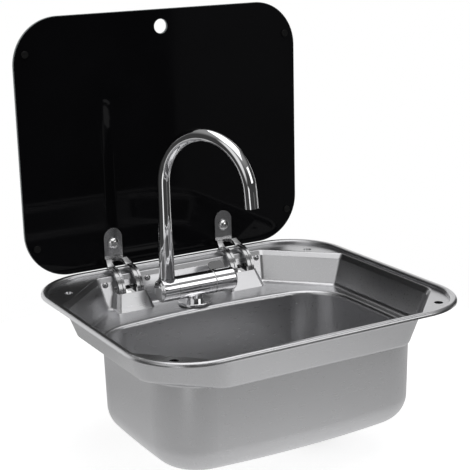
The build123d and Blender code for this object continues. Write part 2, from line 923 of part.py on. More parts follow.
def make_tap_body():
    with BuildPart() as body:
        with BuildSketch(barrel_plane(body_left)):
            Circle(barrel_radius)
        extrude(amount=body_right - body_left)
        with BuildSketch(ledge_plane(tap_gasket)):
            Circle(neck_radius)
        extrude(amount=barrel_z - ledge_level - tap_gasket)
        with BuildSketch(ledge_plane(tap_gasket)):
            Circle(shank_radius)
        extrude(amount=shank_seat, mode=Mode.SUBTRACT)
        with BuildSketch(ledge_plane(tap_gasket)):
            Circle(shank_bore)
        extrude(amount=barrel_z - ledge_level - tap_gasket, mode=Mode.SUBTRACT)
        with BuildSketch(barrel_plane(body_left)):
            Circle(spigot_radius + fit_gap)
        extrude(amount=spigot_length + joint_gap, mode=Mode.SUBTRACT)
        with BuildSketch(barrel_plane(body_right)):
            Circle(cartridge_radius)
        extrude(amount=-cartridge_length, mode=Mode.SUBTRACT)
        with BuildSketch(barrel_plane(body_left)):
            Circle(shank_bore)
        extrude(amount=body_right - body_left, mode=Mode.SUBTRACT)
    finish(body.part, "tap_body")
    with BuildPart() as cartridge:
        with BuildSketch(barrel_plane(body_right)):
            Circle(cartridge_radius)
        extrude(amount=-cartridge_length)
        with BuildSketch(barrel_plane(body_right)):
            Circle(stem_radius + fit_gap)
        extrude(amount=-stem_length - joint_gap, mode=Mode.SUBTRACT)
    finish(cartridge.part, "tap_cartridge")
    with BuildPart() as ring:
        with BuildSketch(barrel_plane(body_right)):
            Circle(ring_radius)
            Circle(stem_radius + fit_gap, mode=Mode.SUBTRACT)
        extrude(amount=ring_width)
        chamfer(ring.edges().filter_by(GeomType.CIRCLE).group_by(SortBy.RADIUS)[-1], ring_width / 4)
    finish(ring.part, "tap_ring")


def make_handle():
    start = body_right + ring_width + joint_gap
    with BuildPart() as handle:
        with BuildSketch(barrel_plane(start)):
            Circle(barrel_radius)
        extrude(amount=handle_length)
        fillet(handle.faces().sort_by(Axis.X)[-1].edges(), handle_round)
        with BuildSketch(barrel_plane(start)):
            Circle(stem_radius)
        extrude(amount=-stem_length - ring_width - joint_gap)
    finish(handle.part, "tap_handle")
    reach_y = cos(radians(lever_angle))
    reach_z = sin(radians(lever_angle))
    blade = Plane(
        origin=(lever_left, tap_y, barrel_z), x_dir=(1, 0, 0), z_dir=(0, -reach_z, reach_y)
    )
    with BuildPart() as lever:
        with BuildSketch(blade) as outline:
            with Locations((lever_width / 2, (lever_root + lever_reach) / 2)):
                Rectangle(lever_width, lever_reach - lever_root)
            fillet(outline.vertices().group_by(Axis.Y)[-1].sort_by(Axis.X)[0], lever_round)
            fillet(outline.vertices().group_by(Axis.Y)[-1].sort_by(Axis.X)[-1], lever_end_round)
        extrude(amount=lever_thickness / 2, both=True)
        fillet(lever.edges().group_by(SortBy.LENGTH)[-1], lever_thickness / 5)
        with BuildSketch(barrel_plane(start)):
            Circle(barrel_radius)
        extrude(amount=handle_length, mode=Mode.SUBTRACT)
    finish(lever.part, "handle_lever")


def make_sleeve():
    right = body_left - joint_gap
    with BuildPart() as sleeve:
        with BuildSketch(barrel_plane(sleeve_left)):
            Circle(barrel_radius)
        extrude(amount=right - sleeve_left)
        chamfer(sleeve.faces().sort_by(Axis.X)[0].edges(), sleeve_chamfer)
        with BuildSketch(barrel_plane(right)):
            Circle(spigot_radius)
        extrude(amount=spigot_length)
        with BuildSketch(Plane(origin=(tube_x, tap_y, barrel_z))):
            Circle(boss_radius)
        extrude(amount=boss_top - barrel_z)
        with BuildSketch(Plane(origin=(tube_x, tap_y, boss_top))):
            Circle(tube_spigot_radius + fit_gap)
        extrude(amount=tube_foot_z - joint_gap - boss_top, mode=Mode.SUBTRACT)
        with BuildSketch(Plane(origin=(tube_x, tap_y, barrel_z))):
            Circle(shank_bore)
        extrude(amount=boss_top - barrel_z, mode=Mode.SUBTRACT)
        with BuildSketch(barrel_plane(tube_x)):
            Circle(shank_bore)
        extrude(amount=right + spigot_length - tube_x, mode=Mode.SUBTRACT)
        with BuildSketch(barrel_plane(sleeve_left)):
            Circle(end_cap_radius)
        extrude(amount=end_cap_depth, mode=Mode.SUBTRACT)
    finish(sleeve.part, "spout_sleeve")
    with BuildPart() as cap:
        with BuildSketch(barrel_plane(sleeve_left)):
            Circle(end_cap_radius)
        extrude(amount=end_cap_depth)
        with BuildSketch(barrel_plane(sleeve_left)):
            Circle(end_cap_radius)
        extrude(amount=-end_cap_crown)
        chamfer(cap.faces().sort_by(Axis.X)[0].edges(), end_cap_crown * 0.8)
    finish(cap.part, "barrel_end_cap")


def make_spout():
    turn = radians(spout_azimuth)
    side_plane = Plane(
        origin=(tube_x, tap_y, 0), x_dir=(cos(turn), sin(turn), 0), z_dir=(sin(turn), -cos(turn), 0)
    )
    sweep_end = radians(180 - bend_sweep)
    with BuildPart() as tube:
        with BuildSketch(side_plane):
            with BuildLine():
                Polyline(
                    (0, tube_foot_z),
                    (tube_spigot_radius, tube_foot_z),
                    (tube_spigot_radius, boss_top + joint_gap),
                    (tube_foot_radius, boss_top + joint_gap),
                    (tube_radius, tube_taper_z),
                    (tube_radius, bend_start_z),
                    (0, bend_start_z),
                    close=True,
                )
            make_face()
        revolve(axis=Axis((tube_x, tap_y, 0), (0, 0, 1)))
        with BuildLine(side_plane) as goose:
            bend = CenterArc((bend_radius, bend_start_z), bend_radius, 180, -bend_sweep)
            Line(bend @ 1, bend @ 1 + (bend % 1) * outlet_run)
        with BuildSketch(Plane(origin=goose.wires()[0] @ 0, z_dir=goose.wires()[0] % 0)):
            Circle(tube_radius)
        sweep(path=goose.wires()[0])
        with BuildLine(side_plane) as water:
            rise = Line((0, tube_foot_z), (0, bend_start_z))
            bend = CenterArc((bend_radius, bend_start_z), bend_radius, 180, -bend_sweep)
            Line(bend @ 1, bend @ 1 + (bend % 1) * outlet_run)
        with BuildSketch(Plane(origin=water.wires()[0] @ 0, z_dir=water.wires()[0] % 0)):
            Circle(tube_bore)
        sweep(path=water.wires()[0], mode=Mode.SUBTRACT)
        with BuildSketch(side_plane):
            with Locations((tube_spigot_radius, ring_groove_z)):
                Rectangle(2 * ring_groove_depth, 2 * ring_groove_depth)
        revolve(axis=Axis((tube_x, tap_y, 0), (0, 0, 1)), mode=Mode.SUBTRACT)
    finish(tube.part, "spout_tube")
    outlet = goose.wires()[0]
    with BuildPart() as aerator:
        mouth = Plane(origin=(outlet @ 1) - (outlet % 1) * aerator_set, z_dir=(outlet % 1) * -1)
        with BuildSketch(mouth):
            Circle(tube_bore)
            Circle(tube_bore - aerator_wall, mode=Mode.SUBTRACT)
        extrude(amount=aerator_length)
        with BuildSketch(mouth.offset(aerator_length / 2)):
            Circle(tube_bore - aerator_wall / 2)
            with GridLocations(aerator_wall, aerator_wall, 3, 3):
                Circle(aerator_wall / 4, mode=Mode.SUBTRACT)
        extrude(amount=aerator_wall / 2)
    finish(aerator.part, "spout_aerator")
    with BuildPart() as ring:
        with BuildSketch(side_plane):
            with Locations((tube_spigot_radius - ring_groove_depth / 2, ring_groove_z)):
                Circle(ring_groove_depth / 2)
        revolve(axis=Axis((tube_x, tap_y, 0), (0, 0, 1)))
    finish(ring.part, "spout_o_ring")


# ---------------------------------------------------------------- the waste
def waste_plane(height):
    """Level plane at a height above the floor's dish, centred on the waste."""
    return Plane(origin=(waste_x, waste_y, bowl_floor - waste_dish_depth + height))


def make_waste():
    with BuildPart() as flange:
        with BuildSketch(waste_plane(0)):
            Circle(waste_flange_radius)
            Circle(waste_throat, mode=Mode.SUBTRACT)
        extrude(amount=waste_flange_sheet)
        fillet(
            flange.faces().sort_by(Axis.Z)[-1].outer_wire().edges(), waste_flange_sheet * 0.8
        )
        with BuildSketch(waste_plane(0)):
            Circle(waste_hole - fit_gap)
            Circle(waste_throat, mode=Mode.SUBTRACT)
        extrude(amount=-waste_cup_length)
        with BuildSketch(waste_plane(-strainer_set)):
            Circle(waste_throat)
            with PolarLocations(strainer_ring, strainer_count):
                Circle(strainer_hole, mode=Mode.SUBTRACT)
            Circle(strainer_hole, mode=Mode.SUBTRACT)
        extrude(amount=-strainer_sheet)
    finish(flange.part, "waste_flange")
    with BuildPart() as gasket:
        with BuildSketch(waste_plane(-sheet)):
            Circle(waste_nut_radius)
            Circle(waste_hole, mode=Mode.SUBTRACT)
        extrude(amount=-waste_gasket)
    finish(gasket.part, "waste_gasket")
    with BuildPart() as nut:
        with BuildSketch(waste_plane(-sheet - waste_gasket)):
            RegularPolygon(waste_nut_radius, 12, major_radius=False)
            Circle(waste_hole, mode=Mode.SUBTRACT)
        extrude(amount=-waste_nut_height)
    finish(nut.part, "waste_nut")
    with BuildPart() as tail:
        with BuildSketch(waste_plane(-waste_cup_length)):
            Circle(waste_hole)
        extrude(amount=-waste_gasket)
        with BuildSketch(waste_plane(-waste_cup_length - waste_gasket)):
            Circle(spigot_pipe_radius)
        extrude(amount=-spigot_pipe_length)
        with BuildSketch(waste_plane(-waste_cup_length)):
            Circle(spigot_pipe_bore)
        extrude(amount=-waste_gasket - spigot_pipe_length, mode=Mode.SUBTRACT)
    finish(tail.part, "waste_spigot")
    with BuildPart() as plug:
        with BuildSketch(waste_plane(waste_flange_sheet + joint_gap)):
            Circle(plug_top_radius)
        extrude(amount=plug_top)
        fillet(plug.faces().sort_by(Axis.Z)[-1].edges(), plug_top / 3)
        with BuildSketch(waste_plane(waste_flange_sheet + joint_gap)):
            Circle(plug_skirt_radius)
        extrude(amount=-plug_skirt_depth)
        with BuildSketch(waste_plane(waste_flange_sheet + joint_gap + plug_top)):
            Circle(plug_knob_neck)
        extrude(amount=plug_knob_height)
        with Locations(waste_plane(waste_flange_sheet + plug_top + plug_knob_height)):
            Sphere(plug_knob_radius)
    finish(plug.part, "waste_plug")


make_sink()
make_rim_seal()
make_lid()
make_arm(-1, "hinge_arm_left")
make_arm(1, "hinge_arm_right")
make_bracket(-1, "hinge_bracket_left")
make_bracket(1, "hinge_bracket_right")
make_pin(-1, "hinge_pin_left")
make_pin(1, "hinge_pin_right")
make_spacers()
make_rivets()
make_lid_fixings()
make_tap_base()
make_tap_body()
make_handle()
make_sleeve()
make_spout()
make_waste()
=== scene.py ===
import json
import math

import bmesh
import bpy
from mathutils import Matrix, Vector


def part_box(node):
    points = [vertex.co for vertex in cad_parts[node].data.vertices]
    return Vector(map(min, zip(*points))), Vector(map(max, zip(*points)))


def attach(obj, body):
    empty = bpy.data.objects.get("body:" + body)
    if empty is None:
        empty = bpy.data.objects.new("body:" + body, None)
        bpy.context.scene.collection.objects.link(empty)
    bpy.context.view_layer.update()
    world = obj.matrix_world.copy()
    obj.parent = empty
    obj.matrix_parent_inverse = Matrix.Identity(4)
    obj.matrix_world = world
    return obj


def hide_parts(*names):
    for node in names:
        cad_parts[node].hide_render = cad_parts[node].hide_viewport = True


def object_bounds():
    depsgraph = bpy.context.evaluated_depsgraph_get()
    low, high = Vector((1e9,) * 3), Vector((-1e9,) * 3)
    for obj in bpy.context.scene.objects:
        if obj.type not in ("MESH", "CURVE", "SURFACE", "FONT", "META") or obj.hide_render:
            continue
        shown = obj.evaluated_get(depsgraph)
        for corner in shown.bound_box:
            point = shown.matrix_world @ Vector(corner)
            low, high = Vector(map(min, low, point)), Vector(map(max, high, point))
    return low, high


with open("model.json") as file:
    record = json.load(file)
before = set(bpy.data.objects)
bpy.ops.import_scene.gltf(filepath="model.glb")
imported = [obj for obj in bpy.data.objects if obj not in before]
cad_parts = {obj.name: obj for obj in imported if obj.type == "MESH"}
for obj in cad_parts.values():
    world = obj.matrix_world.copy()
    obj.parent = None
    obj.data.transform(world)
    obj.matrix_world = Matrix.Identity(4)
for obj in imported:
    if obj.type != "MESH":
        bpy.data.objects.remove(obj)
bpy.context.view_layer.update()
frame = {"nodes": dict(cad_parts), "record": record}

# ---------------------------------------------------------------- camera
# The view is the photograph's: from the front left and a little above, with a long lens. Its focal
# length is in pixels of a view 470 pixels wide.
scene = bpy.context.scene
view_width = 470
view_focal = 1254.088
sensor_width = 36
camera_place = Vector((-0.713944, -1.229901, 0.454777))
view_right = Vector((0.86524862, -0.50083339, -0.02259951))
view_up = Vector((0.14804942, 0.21218546, 0.96594964))

lens = bpy.data.cameras.new("view")
lens.lens = view_focal * sensor_width / view_width
lens.sensor_width = sensor_width
camera = bpy.data.objects.new("view", lens)
view_axes = Matrix((view_right, view_up, view_right.cross(view_up))).transposed().to_4x4()
camera.matrix_world = Matrix.Translation(camera_place) @ view_axes
scene.collection.objects.link(camera)
scene.camera = camera

# ---------------------------------------------------------------- studio
# A round sheet of white paper under the hanging bowl, which keeps the sink's soft shadow. The
# camera sees it as white. Metal and glass see it bright near the sink and dim further out.
scene.view_settings.view_transform = "Standard"
paper_radius = 0.62
paper_sides = 96
paper_drop = 0.001
white = (1, 1, 1, 1)
paper_grey = 0.6
paper_rough = 0.9
paper_gloss = 0.1
paper_glow = 0.75
near_glow = 0.7
far_glow = 0.12
glow_fades_from = 0.2
glow_fades_to = 0.4


def linked(tree, kind, operation, *values):
    """A node that works on links or plain numbers, with its first output."""
    node = tree.nodes.new(kind)
    node.operation = operation
    for socket, value in zip(node.inputs, values):
        if isinstance(value, bpy.types.NodeSocket):
            tree.links.new(value, socket)
        else:
            socket.default_value = value
    return next(output for output in node.outputs if output.enabled)


def ranged(tree, value, start, end, first, last, smooth=False):
    """Turn a value that runs from start to end into one that runs from first to last."""
    node = tree.nodes.new("ShaderNodeMapRange")
    if smooth:
        node.interpolation_type = "SMOOTHSTEP"
    tree.links.new(value, node.inputs["Value"])
    node.inputs["From Min"].default_value = start
    node.inputs["From Max"].default_value = end
    node.inputs["To Min"].default_value = first
    node.inputs["To Max"].default_value = last
    return node.outputs["Result"]


paper = bpy.data.materials.new("studio_paper")
paper.use_nodes = True
tree = paper.node_tree
shader = tree.nodes["Principled BSDF"]
shader.inputs["Base Color"].default_value = (paper_grey, paper_grey, paper_grey, 1)
shader.inputs["Roughness"].default_value = paper_rough
shader.inputs["Specular IOR Level"].default_value = paper_gloss
shader.inputs["Emission Color"].default_value = white
rays = tree.nodes.new("ShaderNodeLightPath").outputs
mirrored = linked(tree, "ShaderNodeMath", "MAXIMUM", rays["Is Glossy Ray"], rays["Is Transmission Ray"])
place = tree.nodes.new("ShaderNodeTexCoord").outputs["Object"]
distance = linked(tree, "ShaderNodeVectorMath", "LENGTH", place)
fade = ranged(tree, distance, glow_fades_from, glow_fades_to, near_glow, far_glow)
mirrored_glow = linked(tree, "ShaderNodeMath", "MULTIPLY", mirrored, fade)
glow = linked(tree, "ShaderNodeMath", "MULTIPLY_ADD", rays["Is Camera Ray"], paper_glow, mirrored_glow)
tree.links.new(glow, shader.inputs["Emission Strength"])

sheet = bmesh.new()
bmesh.ops.create_circle(sheet, cap_ends=True, segments=paper_sides, radius=paper_radius)
bmesh.ops.translate(sheet, vec=(0, 0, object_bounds()[0].z - paper_drop), verts=sheet.verts)
paper_mesh = bpy.data.meshes.new("studio_paper")
sheet.to_mesh(paper_mesh)
sheet.free()
paper_mesh.materials.append(paper)
floor = bpy.data.objects.new("studio_paper", paper_mesh)
scene.collection.objects.link(floor)

# ---------------------------------------------------------------- room
# To the camera the room is plain white. The sink sees it dark, with a grey ceiling, a white wall
# behind that dims higher up, a soft bright screen at the front left, and three upright strips of
# light below the horizon.
dark_wall = 0.05
ceiling_glow = 0.3
ceiling_edge = (0.25, 0.8)
back_wall_edge = (0.5, 0.62)
back_wall_top = (0.35, 0.6)
back_wall_dim = 0.2
screen_direction = (-0.84, -0.4, 0.36)
screen_edge = (0.88, 0.97)
screen_glow = 0.85
strips = (
    {"azimuth": 224, "half_width": 0.14, "glow": 1.2},
    {"azimuth": 8, "half_width": 0.1, "glow": 0.9},
    {"azimuth": 300, "half_width": 0.05, "glow": 0.3},
)
strip_top = -0.05
same_side = 0.5

room = bpy.data.worlds.new("room")
room.use_nodes = True
scene.world = room
tree = room.node_tree
ray = tree.nodes.new("ShaderNodeTexCoord").outputs["Generated"]


def room_math(operation, *values):
    """One step of arithmetic on the room's light."""
    return linked(tree, "ShaderNodeMath", operation, *values)


def facing(direction):
    """How far a ray points along a direction, from -1 to 1."""
    return linked(tree, "ShaderNodeVectorMath", "DOT_PRODUCT", ray, Vector(direction).normalized())


def ease(direction, edge, outside, inside):
    """A glow that changes softly where rays come to point along a direction."""
    return ranged(tree, facing(direction), *edge, outside, inside, smooth=True)


upward = (0, 0, 1)
ceiling = ease(upward, ceiling_edge, dark_wall, ceiling_glow)
back_wall = room_math(
    "MULTIPLY", ease((0, 1, 0), back_wall_edge, 0, 1), ease(upward, back_wall_top, 1, back_wall_dim)
)
screen = ease(screen_direction, screen_edge, 0, screen_glow)
light = room_math("MAXIMUM", room_math("MAXIMUM", ceiling, back_wall), screen)
for strip in strips:
    turn = math.radians(strip["azimuth"])
    sideways = room_math("ABSOLUTE", facing((-math.sin(turn), math.cos(turn), 0)))
    within = room_math("LESS_THAN", sideways, strip["half_width"])
    ahead = room_math("GREATER_THAN", facing((math.cos(turn), math.sin(turn), 0)), same_side)
    low_down = room_math("LESS_THAN", facing(upward), strip_top)
    shown = room_math("MULTIPLY", room_math("MULTIPLY", within, ahead), low_down)
    light = room_math("MAXIMUM", light, room_math("MULTIPLY", shown, strip["glow"]))
seen_in_metal = tree.nodes["Background"]
seen_in_metal.inputs["Color"].default_value = white
tree.links.new(light, seen_in_metal.inputs["Strength"])
seen_by_camera = tree.nodes.new("ShaderNodeBackground")
seen_by_camera.inputs["Color"].default_value = white
choice = tree.nodes.new("ShaderNodeMixShader")
rays = tree.nodes.new("ShaderNodeLightPath").outputs
tree.links.new(rays["Is Camera Ray"], choice.inputs["Fac"])
tree.links.new(seen_in_metal.outputs["Background"], choice.inputs[1])
tree.links.new(seen_by_camera.outputs["Background"], choice.inputs[2])
tree.links.new(choice.outputs["Shader"], tree.nodes["World Output"].inputs["Surface"])

# ---------------------------------------------------------------- lamps
# One wide soft lamp overhead, and one soft lamp at the front right that lights the back panel.
# Sizes and places are in metres, powers in watts.


def soft_lamp(name, place, aim, size, power):
    """A rectangular lamp that faces the point it is aimed at."""
    lamp = bpy.data.lights.new(name, "AREA")
    lamp.shape = "RECTANGLE"
    lamp.size, lamp.size_y = size
    lamp.energy = power
    holder = bpy.data.objects.new(name, lamp)
    holder.location = place
    holder.rotation_euler = (Vector(aim) - Vector(place)).to_track_quat("-Z", "Y").to_euler()
    scene.collection.objects.link(holder)


soft_lamp("top_lamp", place=(0.1, -0.1, 1.7), aim=(0, 0, 0), size=(2.4, 1.8), power=19)
soft_lamp("front_lamp", place=(0.95, -1.55, 0.85), aim=(0, 0.1, 0), size=(1.1, 0.9), power=5)

# ---------------------------------------------------------------- the sink pressing
# One sheet of stainless steel drawn into a rim, an eight-sided basin and a round-cornered bowl.
# Its faces are satin, with a very fine drawn grain and faint cloudy marks from the press.
nodes = frame["nodes"]
cloud_scale = 22
cloud_detail = 3
grain_scale = 900
grain_detail = 4
noise_range = (0.3, 0.7)
even = (1, 1, 1)
satin_grey = (0.56, 0.56, 0.57)
satin_roughness = (0.27, 0.31)
along_x = (0.05, 1, 1)
mm_per_m = 1000
# Painted shade: the two front screw dimples are coloured near-black out to these radii.
dimple_radius = 0.0054
painted_shade_core = 0.005
painted_shade_black = (0.012, 0.012, 0.013, 1)
painted_shade_roughness = 0.7


def pattern(tree, stretch, scale, detail):
    """A noise pattern on the piece's own coordinates, stretched along its axes."""
    place = tree.nodes.new("ShaderNodeTexCoord")
    mapping = tree.nodes.new("ShaderNodeMapping")
    mapping.inputs["Scale"].default_value = stretch
    tree.links.new(place.outputs["Object"], mapping.inputs["Vector"])
    noise = tree.nodes.new("ShaderNodeTexNoise")
    noise.inputs["Scale"].default_value = scale
    noise.inputs["Detail"].default_value = detail
    tree.links.new(mapping.outputs["Vector"], noise.inputs["Vector"])
    return noise.outputs[0]


def spread(tree, noise, low, high):
    """Turn the middle of a noise pattern into a range of values."""
    return ranged(tree, noise, *noise_range, low, high)


def tint(tree, noise, dark, light):
    """Turn a noise pattern into a blend of two colours."""
    node = tree.nodes.new("ShaderNodeMix")
    node.data_type = "RGBA"
    tree.links.new(noise, node.inputs["Factor"])
    node.inputs["A"].default_value = (*dark, 1)
    node.inputs["B"].default_value = (*light, 1)
    return node.outputs["Result"]


def relief(tree, shader, height, depth):
    """Raise a surface by a pattern, by a depth in metres."""
    bump = tree.nodes.new("ShaderNodeBump")
    bump.inputs["Strength"].default_value = 1
    bump.inputs["Distance"].default_value = depth
    tree.links.new(height, bump.inputs["Height"])
    tree.links.new(bump.outputs["Normal"], shader.inputs["Normal"])


def new_material(name, metallic):
    """A named material, with its node tree and its shader."""
    material = bpy.data.materials.new(name)
    material.use_nodes = True
    shader = material.node_tree.nodes["Principled BSDF"]
    shader.inputs["Metallic"].default_value = metallic
    return material, material.node_tree, shader


def dressed_metal(name, colour, roughness, grain, depth, cloud=0.05):
    """Metal with a cloudy tone, a roughness that varies and a fine grain along one axis."""
    material, tree, shader = new_material(name, 1)
    clouds = pattern(tree, even, cloud_scale, cloud_detail)
    dark = [part * (1 - cloud) for part in colour]
    light = [min(1, part * (1 + cloud)) for part in colour]
    tree.links.new(tint(tree, clouds, dark, light), shader.inputs["Base Color"])
    lines = pattern(tree, grain, grain_scale, grain_detail)
    tree.links.new(spread(tree, lines, *roughness), shader.inputs["Roughness"])
    relief(tree, shader, lines, depth)
    return material


def dress(material, *names):
    """Give CAD nodes a material in place of the plain one they came with."""
    for name in names:
        mesh = nodes[name].data
        mesh.materials.clear()
        mesh.materials.append(material)


def paint_shade_in_front_dimples(material):
    """Paint shade into the two front screw dimples: near-black, rough colour that fades out at their edge.
    """
    holes = next(mount for mount in frame["record"]["mounts"] if mount["name"] == "rim_screws")
    half_x = holes["dims"]["spacing_x_mm"] / 2 / mm_per_m
    half_y = holes["dims"]["spacing_y_mm"] / 2 / mm_per_m
    tree = material.node_tree
    shader = tree.nodes["Principled BSDF"]
    place = tree.nodes.new("ShaderNodeTexCoord").outputs["Object"]
    apart = tree.nodes.new("ShaderNodeSeparateXYZ")
    tree.links.new(place, apart.inputs["Vector"])
    either_side = linked(tree, "ShaderNodeMath", "ABSOLUTE", apart.outputs["X"])
    seen_from_above = tree.nodes.new("ShaderNodeCombineXYZ")
    tree.links.new(either_side, seen_from_above.inputs["X"])
    tree.links.new(apart.outputs["Y"], seen_from_above.inputs["Y"])
    dimple = (half_x, holes["pos_m"][1] - half_y, 0)
    distance = linked(tree, "ShaderNodeVectorMath", "DISTANCE", seen_from_above.outputs["Vector"], dimple)
    inside = ranged(tree, distance, painted_shade_core, dimple_radius, 1, 0)
    for name, kind, painted_value in (("Base Color", "RGBA", painted_shade_black), ("Roughness", "FLOAT", painted_shade_roughness)):
        blend = tree.nodes.new("ShaderNodeMix")
        blend.data_type = kind
        clear, painted_shade_input = [socket for socket in blend.inputs if socket.enabled and socket.name in "AB"]
        painted_shade_input.default_value = painted_value
        tree.links.new(inside, blend.inputs["Factor"])
        tree.links.new(shader.inputs[name].links[0].from_socket, clear)
        result = next(socket for socket in blend.outputs if socket.enabled)
        tree.links.new(result, shader.inputs[name])


satin_steel = dressed_metal("satin_steel", satin_grey, satin_roughness, along_x, depth=0.0000002, cloud=0.02)
# The two front screw dimples get painted shade.
paint_shade_in_front_dimples(satin_steel)
dress(satin_steel, "sink_pressing")

# ---------------------------------------------------------------- rubber seals
# A strip in the hollow of the rolled lip, the gaskets of the tap and the waste, the spout's ring,
# the lid's pads and buttons, and the plug. All are cut or moulded from black rubber, with a dusty,
# slightly uneven skin.
mottle_scale = 60
mottle_detail = 4
skin_detail = 6
moulded_gloss = 0.25
rubber_dark = (0.002, 0.002, 0.002)
rubber_light = (0.006, 0.006, 0.006)
rubber_roughness = (0.6, 0.85)


def moulded(name, dark, light, roughness, skin_scale, depth):
    """Rubber or plastic with a mottled tone and a fine moulded skin."""
    material, tree, shader = new_material(name, 0)
    mottle = pattern(tree, even, mottle_scale, mottle_detail)
    tree.links.new(tint(tree, mottle, dark, light), shader.inputs["Base Color"])
    skin = pattern(tree, even, skin_scale, skin_detail)
    tree.links.new(spread(tree, skin, *roughness), shader.inputs["Roughness"])
    relief(tree, shader, skin, depth)
    shader.inputs["Specular IOR Level"].default_value = moulded_gloss
    return material


black_rubber = moulded(
    "black_rubber", rubber_dark, rubber_light, rubber_roughness, skin_scale=1500, depth=0.00002
)
dress(black_rubber, "rim_seal", "lid_bumpers", "lid_pads", "tap_gasket")
dress(black_rubber, "waste_gasket", "waste_plug", "spout_o_ring")

# ---------------------------------------------------------------- hinge brackets and pins
# Steel brackets riveted behind the back panel, and the headed pins that they carry, all coloured
# near-black like black zinc plating; that dark colour is also painted shade, so the slots look dark.
zinc_black_and_slot_shade = (0.04, 0.04, 0.042)
zinc_roughness = (0.35, 0.55)
plated_steel = dressed_metal("plated_steel", zinc_black_and_slot_shade, zinc_roughness, even, depth=0.00001, cloud=0.2)
dress(plated_steel, "hinge_bracket_left", "hinge_bracket_right", "hinge_pin_left", "hinge_pin_right")

# ---------------------------------------------------------------- nylon washers and sleeves
# Moulded natural nylon: the washers beside each hinge arm, the sleeves in the glass and the insert
# in the spout's outlet.
nylon_dark = (0.68, 0.67, 0.62)
nylon_light = (0.8, 0.79, 0.75)
nylon_roughness = (0.35, 0.55)
pale_nylon = moulded(
    "pale_nylon", nylon_dark, nylon_light, nylon_roughness, skin_scale=900, depth=0.00001
)
dress(pale_nylon, "hinge_spacers", "glass_hole_sleeves", "spout_aerator")

# ---------------------------------------------------------------- hinge arms
# Pressed stainless arms: two ribbed legs curve up out of the sink's slots, join in a plate and end
# in an upright tongue that the glass is screwed to. They are brushed, with edges broken by tumbling.
arm_grey = (0.44, 0.44, 0.445)
arm_roughness = (0.17, 0.23)
across_x = (1, 0.06, 0.06)
arm_edge = 0.0004
edge_angle = 35
edge_segments = 3
same_place = 0.00001
flat_angle = 0.5


def add_piece(name, shape, material, body, sharp):
    """Make a piece from a bmesh: faces outwards, smooth between its sharp edges, riding on a body."""
    bmesh.ops.recalc_face_normals(shape, faces=shape.faces)
    mesh = bpy.data.meshes.new(name)
    shape.to_mesh(mesh)
    shape.free()
    mesh.materials.append(material)
    mesh.shade_smooth()
    mesh.set_sharp_from_angle(angle=math.radians(sharp))
    piece = bpy.data.objects.new(name, mesh)
    scene.collection.objects.link(piece)
    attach(piece, body)
    return piece


def soft_edged(name, node, material, body, width):
    """A merged copy of a CAD node with its sharp edges rounded, in that node's place."""
    shape = bmesh.new()
    shape.from_mesh(nodes[node].data)
    bmesh.ops.remove_doubles(shape, verts=shape.verts, dist=same_place)
    bmesh.ops.dissolve_limit(
        shape, angle_limit=math.radians(flat_angle), use_dissolve_boundaries=False,
        verts=shape.verts, edges=shape.edges,
    )
    piece = add_piece(name, shape, material, body, edge_angle)
    rounding = piece.modifiers.new("rounding", "BEVEL")
    rounding.width = width
    rounding.segments = edge_segments
    rounding.limit_method = "ANGLE"
    rounding.angle_limit = math.radians(edge_angle)
    rounding.harden_normals = True
    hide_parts(node)


brushed_steel = dressed_metal(
    "brushed_steel", arm_grey, arm_roughness, across_x, depth=0.0000008, cloud=0.06
)
for side in ("left", "right"):
    soft_edged("arm_" + side, "hinge_arm_" + side, brushed_steel, "lid", arm_edge)
dress(brushed_steel, "hinge_arm_left", "hinge_arm_right")

# ---------------------------------------------------------------- hinge rivets
# Four domed stainless rivets, set square to the leaning back panel. Each dome stands where the
# flat-topped head of its rivet is.
rivet_head = 0.004
rivet_dome = 0.003
rivet_proud = 0.0009
rivet_reach = 1.1 * rivet_head
rivet_spacing = 0.0588
panel_run = 0.0121
panel_height = 0.0334
panel_out = Vector((0, -panel_height, panel_run)).normalized()
dome_rounds = 40
dome_rings = 24
dome_smooth = 60
bright_grey = (0.72, 0.72, 0.72)
bright_roughness = (0.08, 0.16)
rivet_grey = (0.4, 0.4, 0.405)
rivet_roughness = (0.1, 0.16)
bright_steel = dressed_metal("bright_steel", bright_grey, bright_roughness, even, depth=0.000001)
rivet_steel = dressed_metal("rivet_steel", rivet_grey, rivet_roughness, even, depth=0.000001)


def middle(name):
    """The middle of a CAD node's box."""
    low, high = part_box(name)
    return (low + high) / 2


def rivet_top(x):
    """Middle of the top of a rivet's head, found from the CAD node."""
    spots = [v.co for v in nodes["hinge_rivets"].data.vertices if abs(v.co.x - x) < rivet_reach]
    top = max(spot.dot(panel_out) for spot in spots)
    centre = sum(spots, Vector()) / len(spots)
    return centre + panel_out * (top - centre.dot(panel_out))


rivets = bmesh.new()
lean = panel_out.to_track_quat("Z", "Y").to_matrix().to_4x4()
for hinge in ("hinge_pin_left", "hinge_pin_right"):
    for side in (-1, 1):
        top = rivet_top(middle(hinge).x + side * rivet_spacing / 2)
        seat = Matrix.Translation(top - panel_out * (rivet_dome - rivet_proud))
        dome = bmesh.ops.create_uvsphere(
            rivets, u_segments=dome_rounds, v_segments=dome_rings, radius=1
        )["verts"]
        bmesh.ops.scale(rivets, vec=(rivet_head, rivet_head, rivet_dome), verts=dome)
        bmesh.ops.transform(rivets, matrix=seat @ lean, verts=dome)
add_piece("rivet_domes", rivets, rivet_steel, "root", dome_smooth)
dress(rivet_steel, "hinge_rivets")

